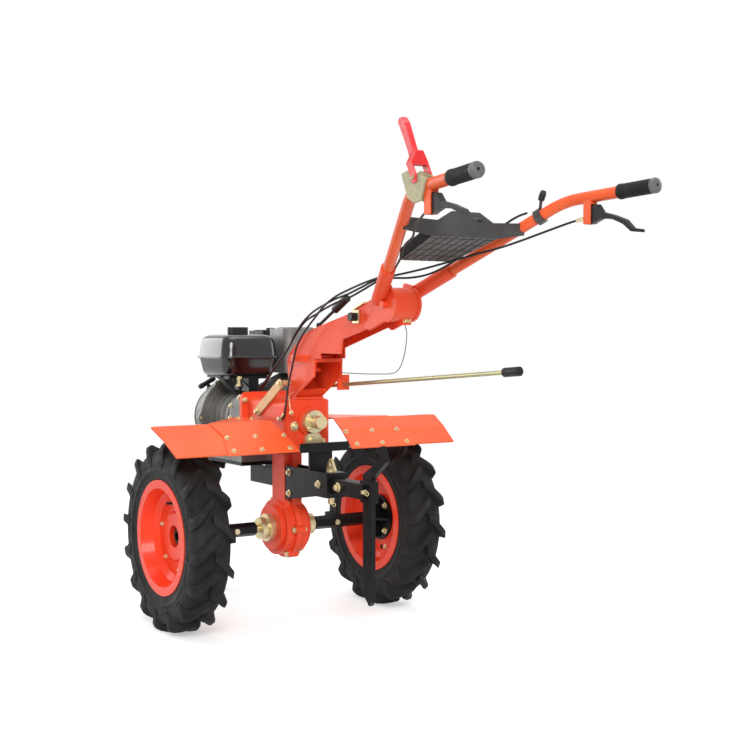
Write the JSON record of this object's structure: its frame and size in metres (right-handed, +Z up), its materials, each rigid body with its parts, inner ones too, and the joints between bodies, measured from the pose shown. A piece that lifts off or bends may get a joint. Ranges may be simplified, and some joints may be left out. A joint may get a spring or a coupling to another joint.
{
  "type": "walk-behind rotary tiller",
  "caption": "Walk-behind rotary tiller on lugged transport wheels, with a petrol engine, fenders, swivelling and tilting handlebar, rear hitch with depth stake and folding front stand.",
  "frame": {"origin": "on the ground, under the middle of the machine's overall length and width", "axes": "+Z up, +Y ahead to the engine, +X to the operator's right"},
  "size_m": [0.832, 1.5528, 1.171],
  "materials": {
    "tyre_rubber": "matte",
    "orange_paint": "gloss",
    "black_paint": "satin",
    "zinc_plate": "satin",
    "engine_alloy": "satin",
    "black_gloss": "gloss",
    "black_plastic": "satin",
    "grip_rubber": "matte",
    "red_plastic": "gloss",
    "dark_metal": "satin"
  },
  "bodies": {
    "chassis": {"final_drive": "orange_paint", "bearing_caps": "zinc_plate", "gear_case": "orange_paint", "shaft_covers": "zinc_plate", "engine_bed": "black_paint", "stand_bolt": "zinc_plate", "crankcase": "engine_alloy", "cylinder": "engine_alloy", "fan_housing": "engine_alloy", "recoil_starter": "black_plastic", "fuel_tank": "black_gloss", "fuel_cap": "black_plastic", "tank_bracket": "black_paint", "air_cleaner": "black_plastic", "muffler": "dark_metal", "fender_left": "orange_paint", "fender_right": "orange_paint", "fender_wing_left": "orange_paint", "fender_wing_right": "orange_paint", "fender_bracket": "black_paint", "hitch_clevis": "black_paint", "hitch_pin": "zinc_plate", "drawbar": "black_paint", "depth_stake": "black_paint", "handle_seat": "orange_paint", "seat_stay": "zinc_plate", "gear_rod": "zinc_plate", "gear_knob": "black_plastic", "cables_root": "black_plastic", "return_wire": "dark_metal"},
    "wheelset": {"axle_shaft": "zinc_plate", "axle_pins": "zinc_plate", "hub_left": "black_paint", "hub_right": "black_paint", "rim_left": "orange_paint", "rim_right": "orange_paint", "tyre_left": "tyre_rubber", "tyre_right": "tyre_rubber"},
    "column": {"column": "orange_paint", "swivel_lock": "black_plastic", "tilt_latch": "zinc_plate", "latch_knob": "black_plastic", "cables_column": "black_plastic"},
    "handlebar": {"handlebar_hub": "orange_paint", "handlebar_left": "orange_paint", "handlebar_right": "orange_paint", "grips": "grip_rubber", "lever_tabs": "orange_paint", "hand_levers": "black_plastic", "cables_bar": "black_plastic", "gear_lever": "red_plastic", "lever_bracket": "zinc_plate", "tool_tray": "black_plastic", "throttle": "dark_metal"},
    "stand": {"stand": "black_paint"}
  },
  "joints": [
    {"name": "wheels_spin", "type": "hinge", "parent": "chassis", "child": "wheelset", "pos_m": [0, 0.33645, 0.237], "axis": [-1, 0, 0], "continuous": true},
    {"name": "handle_swivel", "type": "hinge", "parent": "chassis", "child": "column", "pos_m": [0, 0.18645, 0.682], "axis": [0, 0, 1], "range_deg": [-30, 30], "deforming": ["cables_root", "return_wire"]},
    {"name": "handle_tilt", "type": "hinge", "parent": "column", "child": "handlebar", "pos_m": [0, -0.19655, 0.81], "axis": [-1, 0, 0], "range_deg": [-20, 15], "deforming": ["cables_column"]},
    {"name": "stand_fold", "type": "hinge", "parent": "chassis", "child": "stand", "pos_m": [0, 0.75445, 0.366], "axis": [1, 0, 0], "range_deg": [0, 80]}
  ]
}
